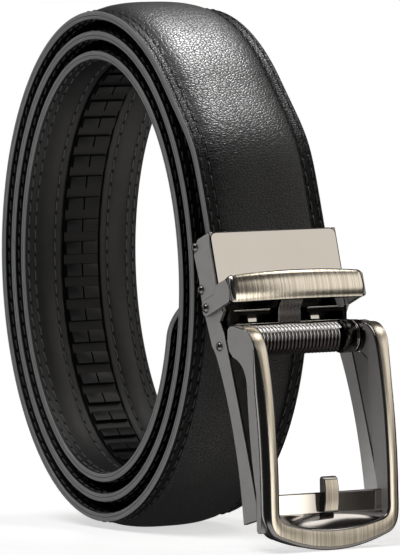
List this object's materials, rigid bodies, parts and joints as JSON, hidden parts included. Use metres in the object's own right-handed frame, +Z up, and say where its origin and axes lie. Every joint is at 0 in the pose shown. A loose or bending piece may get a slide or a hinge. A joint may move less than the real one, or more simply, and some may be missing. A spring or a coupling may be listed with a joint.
{
  "type": "ratchet belt",
  "caption": "Coiled black leather belt strap with a toothed track on its lining and an open-frame click buckle, clamped on, whose frame lifts on a sprung pin.",
  "frame": {"origin": "on the floor under the middle of the whole belt's box, with the coil and the frame's lower bar standing on z = 0", "axes": "+X across the belt, +Y from the buckle back to the coil, +Z up"},
  "size_m": [0.042, 0.1474, 0.1402],
  "materials": {
    "leather": "fine pebbled grain, semi-gloss",
    "track": "moulded, satin",
    "polished": "polished gunmetal plating",
    "brushed": "brushed gunmetal plating",
    "spring": "drawn spring wire"
  },
  "bodies": {
    "base": {"strap": "leather", "ratchet_track": "track", "base_channel": "polished", "clamp_jaw": "polished", "jaw_pin_upper": "polished", "jaw_pin_lower": "polished", "keeper": "brushed", "keeper_rivet_right": "polished", "keeper_rivet_left": "polished", "chassis": "polished", "arm_rivet_right": "polished", "arm_rivet_left": "polished", "hinge_pin": "polished", "return_spring": "spring"},
    "frame": {"main_frame": "brushed", "prong_stub": "brushed", "pawl": "polished"}
  },
  "joints": [
    {"name": "frame_lift", "type": "hinge", "parent": "base", "child": "frame", "pos_m": [0, -0.05738, 0.0533], "axis": [-1, 0, 0], "range_deg": [0, 25], "stiffness_Nm_per_rad": 0.05, "springref_deg": -34.38}
  ]
}
